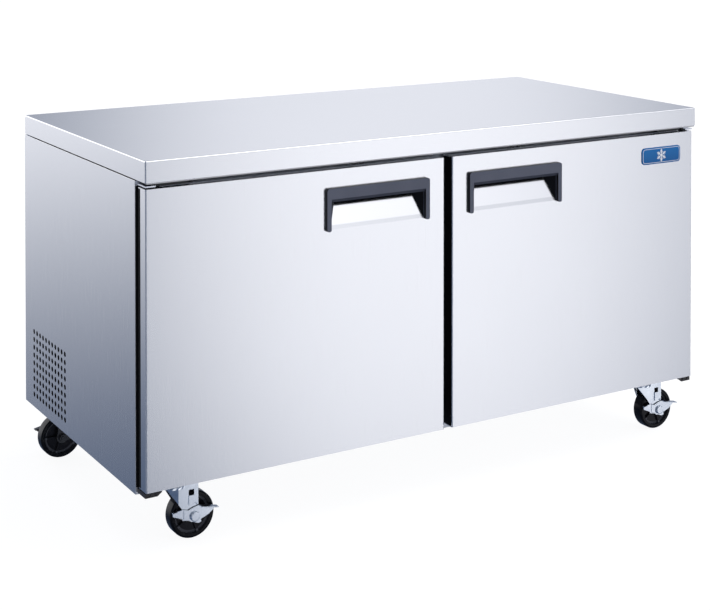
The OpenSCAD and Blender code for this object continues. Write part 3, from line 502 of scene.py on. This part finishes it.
def door_gap_shade_strips(side):
    """Near black tape on a door's free edge, and a narrow one along the back of its hinged edge: painted
    shade for the dark gaps beside the door.
    """
    low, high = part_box(side + "_door_skin")
    shade_sheet, nose, rear = 0.5 * MM, 2.5 * MM, 9 * MM
    free, hinged = (high.x, low.x) if side == "left" else (low.x, high.x)
    out = 1 if side == "left" else -1
    b = bmesh.new()
    for edge, beyond, front in ((free, free + out * shade_sheet, low.y + nose),
                                (hinged, hinged - out * shade_sheet, high.y - rear)):
        trim_strip(b, (min(edge, beyond), front, low.z + nose), (max(edge, beyond), high.y, high.z - nose))
    return finished(b, side + "_door_gap_shade_strips")


def frame_shade_strip(side):
    """Black strip up the cabinet's front corner, behind a door's hinged edge: painted shade in the gap
    there.
    """
    low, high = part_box(side + "_side_panel")
    door_low, door_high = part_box(side + "_door_skin")
    proud, wide, sheet = 4 * MM, 21 * MM, 1 * MM
    x0 = low.x + sheet if side == "left" else high.x - sheet - wide
    b = bmesh.new()
    trim_strip(b, (x0, low.y - proud, door_low.z), (x0 + wide, low.y, door_high.z))
    return finished(b, side + "_frame_shade_strip")


def vent_shade_backing(side):
    """Pleated near black sheet just inside the side panel's vent holes: painted shade seen through them.
    """
    panel_low, panel_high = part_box(side + "_side_panel")
    tray_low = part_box("unit_tray")[0]
    grille_low, grille_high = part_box("rear_grille")
    reach, gap, pleat, depth, thick = 240 * MM, 1.2 * MM, 6 * MM, 3 * MM, 0.8 * MM
    sheet, behind, above, below = 1 * MM, 52 * MM, 20 * MM, 12 * MM
    y0 = grille_low.y - behind - reach
    z0, z1 = tray_low.z + above, grille_high.z - below
    out = -1 if side == "left" else 1
    face = (panel_low.x if side == "left" else panel_high.x) - out * (sheet + gap)
    b = bmesh.new()
    count = int(reach / pleat) * 2
    rows = []
    for i in range(count + 1):
        x = face - out * (depth if i % 2 else 0)
        y = y0 + i * pleat / 2
        rows.append([b.verts.new((x - out * t, y, z)) for t in (0, thick) for z in (z0, z1)])
    for a, c in zip(rows, rows[1:]):
        for i, j in ((0, 1), (3, 2), (1, 3), (2, 0)):
            b.faces.new((a[i], a[j], c[j], c[i]))
    for row in (rows[0], rows[-1]):
        b.faces.new((row[0], row[1], row[3], row[2]))
    return finished(b, side + "_vent_shade_backing")


def screw_head(b, place, radius):
    """Low pan head with a cross recess, its top along the place's own -Y."""
    sides, height, sink = 20, radius * 0.45, radius * 0.3
    arm, half = radius * 0.55, radius * 0.12
    # From the foot up: shares of the radius and of the height
    profile = ((1, 0), (1, 0.45), (0.88, 0.85), (0.7, 1))

    def ring(r, h):
        return [b.verts.new(place @ Vector((r * math.cos(a), -h, r * math.sin(a))))
                for a in (2 * math.pi * i / sides for i in range(sides))]

    rings = [ring(radius * wide, height * tall) for wide, tall in profile]
    for first, second in zip(rings, rings[1:]):
        band(b, first, second)
    cross = [(arm, -half), (arm, half), (half, half), (half, arm), (-half, arm), (-half, half),
             (-arm, half), (-arm, -half), (-half, -half), (-half, -arm), (half, -arm), (half, -half)]
    top, sunk = ([b.verts.new(place @ Vector((x, -h, z))) for x, z in cross]
                 for h in (height, height - sink))
    band(b, top, sunk)
    b.faces.new(sunk)
    b.faces.new(rings[0])
    loops = []
    for loop in (rings[-1], top):
        for i in range(len(loop)):
            pair = (loop[i], loop[(i + 1) % len(loop)])
            loops.append(b.edges.get(pair) or b.edges.new(pair))
    bmesh.ops.triangle_fill(b, edges=loops, use_beauty=True)


def screws(name, places, turn, radius=4 * MM):
    """Screw heads at places; turn is the angle about Z from facing -Y."""
    twist_step = 37
    facing = Matrix.Rotation(math.radians(turn), 4, "Z")
    b = bmesh.new()
    for number, point in enumerate(places):
        twist = Matrix.Rotation(math.radians(twist_step * number), 4, "Y")
        screw_head(b, Matrix.Translation(point) @ facing @ twist, radius)
    return finished(b, name)


def spread(start, end, count):
    """Evenly spaced places from start to end, with both of them."""
    return [start + (end - start) * i / (count - 1) for i in range(count)]


def back_screws():
    """Screws round the back sheet and the grille."""
    low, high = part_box("back_panel")
    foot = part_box("rear_grille")[0].z
    inset, foot_inset = 16 * MM, 9.6 * MM
    left, right = low.x + inset, high.x - inset
    places = [(x, high.y, z) for x in spread(left, right, 7) for z in (high.z - inset, low.z + foot_inset)]
    places += [(x, high.y, z) for x in (left, right) for z in spread(low.z, high.z, 4)[1:3]]
    places += [(x, high.y, foot + foot_inset) for x in spread(left, right, 5)]
    return screws("back_screws", places, 180)


def cover_screws():
    """Screws in the corners of the evaporator cover."""
    low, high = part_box("evaporator_cover")
    inset = 12 * MM
    places = [(x, low.y, z) for x in (low.x + inset, high.x - inset)
              for z in (low.z + inset, high.z - inset)]
    return screws("evaporator_cover_screws", places, 0, 3.5 * MM)


def hinge_screws():
    """Two screws in the front apron of each lower hinge bracket."""
    low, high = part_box("hinge_brackets")
    behind_door, above_edge, reaches = 5 * MM, 5 * MM, (10 * MM, 24 * MM)
    apron_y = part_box("left_door_skin")[0].y + behind_door
    places = [(corner + way * reach, apron_y, low.z + above_edge)
              for corner, way in ((low.x, 1), (high.x, -1)) for reach in reaches]
    return screws("hinge_screws", places, 0, 2.6 * MM)


def plate_border():
    """Thin raised line just inside the badge's rim."""
    low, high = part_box("badge")
    inset, line, corner, proud = 3 * MM, 0.9 * MM, 7.5 * MM, 0.4 * MM
    steps = 6

    def rounded(gap):
        r = corner - (gap - inset)
        left, right, foot, head = low.x + gap + r, high.x - gap - r, low.z + gap + r, high.z - gap - r
        points = []
        for quarter, (cx, cz) in enumerate(((right, head), (left, head), (left, foot), (right, foot))):
            for step in range(steps + 1):
                a = math.radians(RIGHT_ANGLE * (quarter + step / steps))
                points.append((cx + r * math.cos(a), cz + r * math.sin(a)))
        return points

    b = bmesh.new()
    rings = [[b.verts.new((x, low.y - h, z)) for x, z in rounded(gap)]
             for gap, h in ((inset, 0), (inset, proud), (inset + line, proud), (inset + line, 0))]
    for first, second in zip(rings, rings[1:] + rings[:1]):
        band(b, first, second)
    return finished(b, "badge_border")


# ---------- studio ----------

def floor():
    """Plain pale floor, large enough to fill the view behind the object."""
    reach, own_glow, tone = 60.0, 0.92, 0.16
    corners = [(-reach, -reach, 0), (reach, -reach, 0), (reach, reach, 0), (-reach, reach, 0)]
    mesh = bpy.data.meshes.new("floor")
    mesh.from_pydata(corners, [], [(0, 1, 2, 3)])
    made = bpy.data.objects.new("floor", mesh)
    scene.collection.objects.link(made)
    t = Tree("floor")
    t.put(t.shader.inputs["Emission Color"], rgb(1, 1, 1))
    t.put(t.shader.inputs["Emission Strength"], own_glow)
    mesh.materials.append(t.surface(colour=rgb(tone, tone, tone), rough=1.0))
    made.visible_glossy = False


# Soft oval panels round the object, as polished parts see them. Bearings are degrees from the
# front (-Y) towards +X; each row is bearing, height, half width, half height, core share, strength.
PANELS = {
    "doors": (33, -8, 12.4, 21, 0.8, 1.34),
    "worktop": (148, 14, 18.7, 30, 0.25, 0.90),
    "side": (200, 13, 41, 36, 0.33, 1.6),
    "overhead": (39, 62, 50, 52, 0.35, 1.25),
    "front_left": (346, -6, 16, 30, 0.5, 0.9),
    "right": (90, 0, 30, 40, 0.5, 0.9),
    "left": (256, -8, 14, 32, 0.4, 0.6),
    "pockets": (37, 27, 15, 10, 0.4, 0.45),
    "room": (350, 27, 88, 16, 0.6, 0.45),
    "folds": (69, 58, 24, 24, 0.3, 2.3),
}
DIM = rgb(0.086, 0.123, 0.208)


def studio_light():
    """White behind the object; everything it reflects is a dim room with soft panels in it."""
    world = bpy.data.worlds.new("studio")
    scene.world = world
    world.use_nodes = True
    t = NodeKit(world.node_tree)
    t.tree.nodes.clear()
    ray = t.add("TexCoord").outputs["Generated"]

    def dot(vector):
        return t.add("VectorMath", {0: ray, 1: vector}, operation="DOT_PRODUCT").outputs["Value"]

    total = 0.0
    for bearing, height, wide, high, core, strength in PANELS.values():
        turn, rise, wide, high = (math.radians(angle) for angle in (bearing, height, wide, high))
        axis = Vector((math.sin(turn) * math.cos(rise), -math.cos(turn) * math.cos(rise), math.sin(rise)))
        right = axis.cross((0, 0, 1)).normalized()
        up = right.cross(axis)
        aside, above = dot(right / math.sin(wide)), dot(up / math.sin(high))
        across = t.add("CombineXYZ", {0: aside, 1: above}).outputs[0]
        reach = t.add("VectorMath", {0: across}, operation="LENGTH").outputs["Value"]
        glow = t.fit(reach, core, 1.0, strength, 0.0, smooth=True)
        ahead = t.math("GREATER_THAN", dot(axis), 0.0)
        total = t.math("MULTIPLY_ADD", glow, ahead, total)
    room = t.add("Background", {"Color": DIM, "Strength": 1.0})
    panels = t.add("Background", {"Color": rgb(1.0, 0.985, 0.98), "Strength": total})
    lit = t.add("AddShader", {0: room.outputs[0], 1: panels.outputs[0]})
    white = t.add("Background", {"Color": rgb(1, 1, 1), "Strength": 1.0})
    seen = t.add("LightPath").outputs["Is Camera Ray"]
    both = t.add("MixShader", {0: seen, 1: lit.outputs[0], 2: white.outputs[0]})
    t.add("OutputWorld", {"Surface": both.outputs[0]})


# The eye in the row frame and above the worktop, the way it looks in degrees, and the frame's shift
EYE_X, EYE_Y, EYE_ABOVE = -2.0171, -3.3303, 0.5669
EYE_DOWN, EYE_TURN = 1.039, -30.808
FRAME_SHIFT = -0.548
LENS, SENSOR, FAR = 77.88, 36.0, 200.0


def camera():
    """Eye-level view from the front left; the frame is shifted down, which keeps uprights upright."""
    data = bpy.data.cameras.new("camera")
    made = bpy.data.objects.new("camera", data)
    scene.collection.objects.link(made)
    scene.camera = made
    data.lens = LENS
    data.sensor_width = SENSOR
    data.clip_end = FAR
    made.location = (EYE_X, EYE_Y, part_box("worktop")[1].z + EYE_ABOVE)
    made.rotation_euler = (math.radians(RIGHT_ANGLE - EYE_DOWN), 0, math.radians(EYE_TURN))
    # The shift belongs to this view only: any other view sets a quaternion rotation, which reads as 0.
    shift = data.driver_add("shift_y").driver
    shift.type = "SCRIPTED"
    mode = shift.variables.new()
    mode.name = "euler"
    mode.targets[0].id = made
    mode.targets[0].data_path = "rotation_mode"
    shift.expression = f"{FRAME_SHIFT} * euler"


# ---------- assembly ----------

def main():
    slots = make_materials()
    paint_nodes(slots)
    for name in nodes:
        soften(name)
    # Near black for the strips in the door gaps and behind the vent holes, which paint the shade there.
    shade_sheet = moulded("black_painted_shade", rgb(0.002, 0.002, 0.0025), 0.6, specular=0.1)
    # Flat grey non-metal on the steel hem: a painted reflection, which shows it as the light line under
    # the worktop's front edge.
    painted_highlight_grey = painted("painted_highlight_grey", rgb(0.40, 0.405, 0.43), 0.5)
    # Each piece's mesh, its finish, the record's slot nearest to that, and the body it rides on
    extras = [
        (worktop_hem(), painted_highlight_grey, "stainless", "root"),
        (back_screws(), slots["zinc"], "zinc", "root"),
        (cover_screws(), slots["zinc"], "zinc", "root"),
        (hinge_screws(), slots["black_enamel"], "black_enamel", "root"),
        (crystal(), slots["coated_wire"], "coated_wire", "right_door"),
        (plate_border(), slots["coated_wire"], "coated_wire", "right_door"),
    ]
    for side in DOORS:
        extras += [
            (door_gap_shade_strips(side), shade_sheet, "seal", side + "_door"),
            (frame_shade_strip(side), shade_sheet, "seal", "root"),
            (vent_shade_backing(side), shade_sheet, "rubber", "root"),
        ]
    for mesh, look, slot, body in extras:
        piece(mesh.name, mesh, look, body)
    floor()
    studio_light()
    camera()
    scene.view_settings.view_transform = "Standard"


main()
